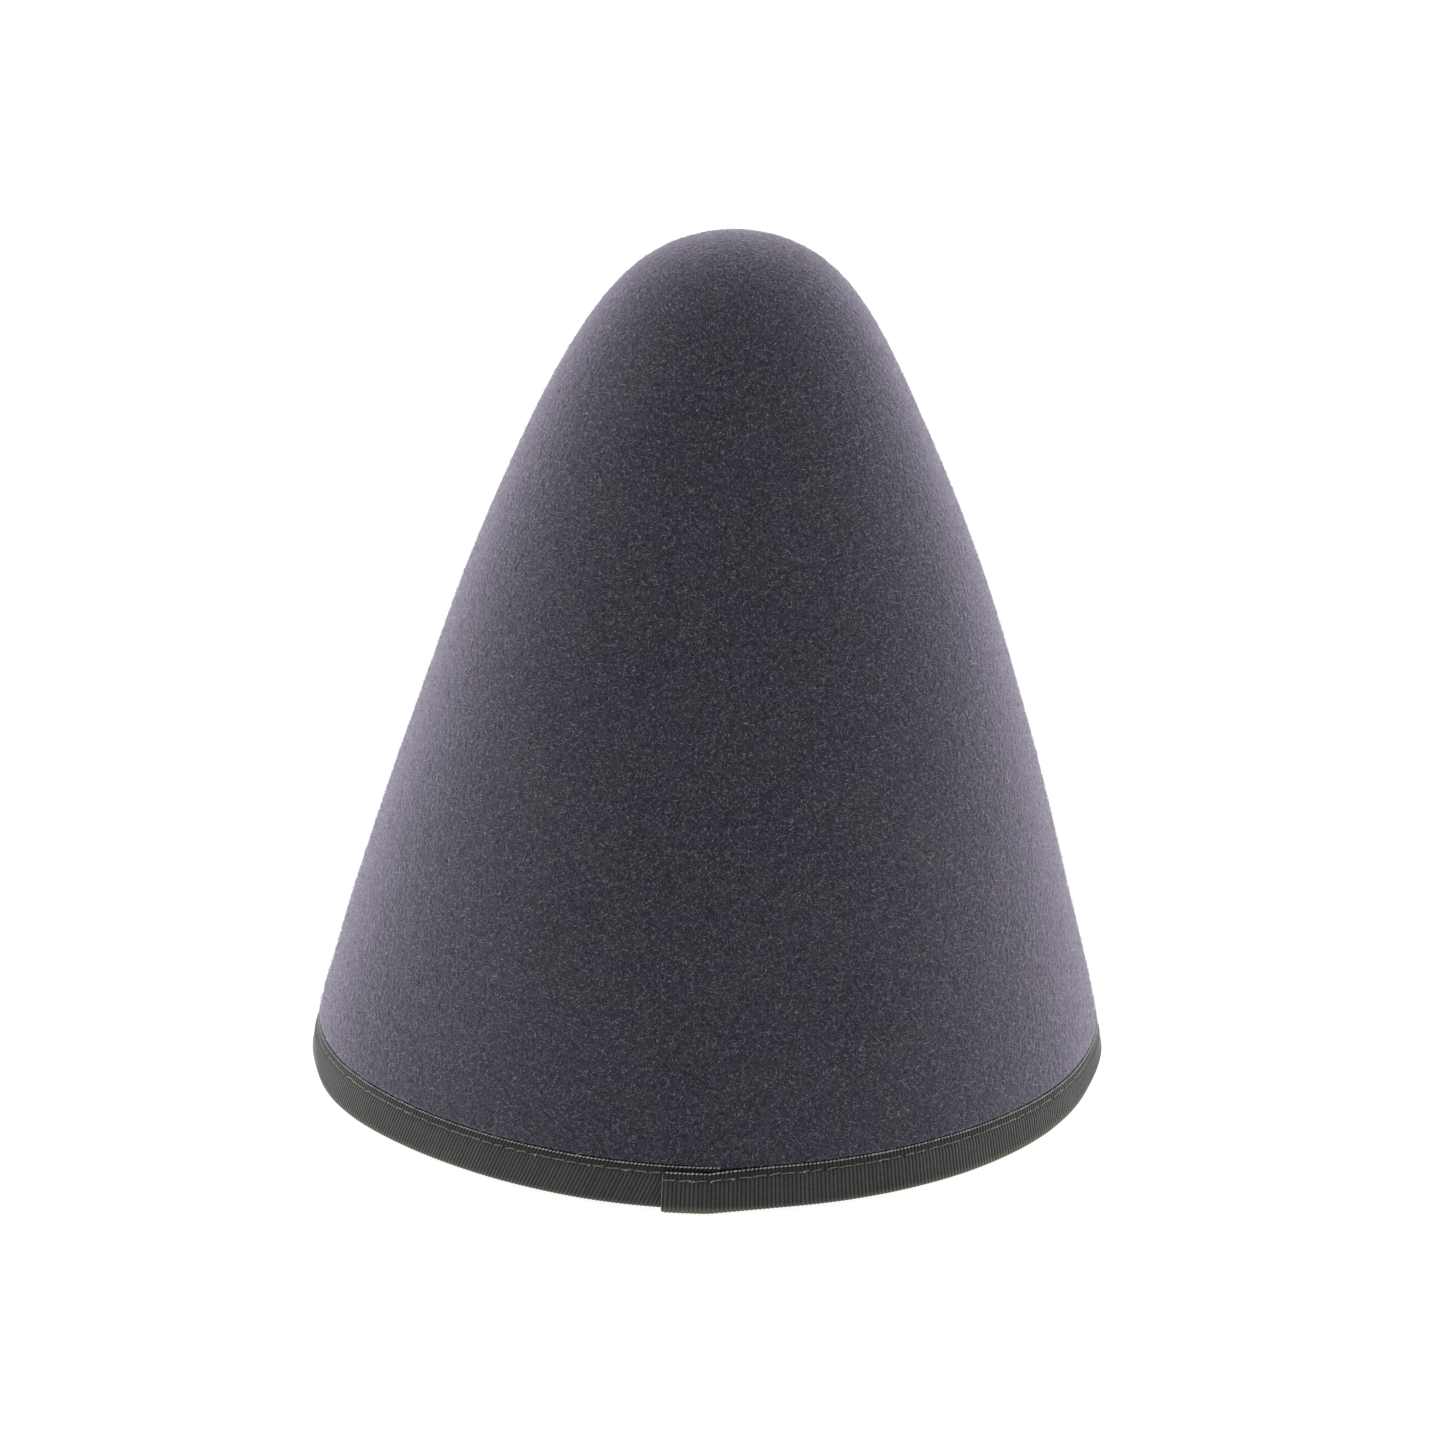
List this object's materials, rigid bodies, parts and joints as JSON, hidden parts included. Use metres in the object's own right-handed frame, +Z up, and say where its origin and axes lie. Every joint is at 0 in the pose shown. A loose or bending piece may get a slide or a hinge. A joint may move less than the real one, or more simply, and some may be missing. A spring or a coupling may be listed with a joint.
{
  "type": "clown cone hat",
  "caption": "Soft felt cone hat with a blunt tip that leans a little, and a ribbon folded over its rim; open and hollow below, it stands on the rim.",
  "frame": {"origin": "on the ground, under the middle of the rim", "axes": "+Z up to the tip, -Y to the side where the ribbon's ends lap, +X to the side that the tip leans to"},
  "size_m": [0.189, 0.1922, 0.2027],
  "materials": {
    "wool_felt": "matt, short loose nap",
    "grosgrain": "matt, fine upright ribs"
  },
  "bodies": {
    "root": {"felt_cone": "wool_felt", "rim_binding": "grosgrain"}
  },
  "joints": []
}
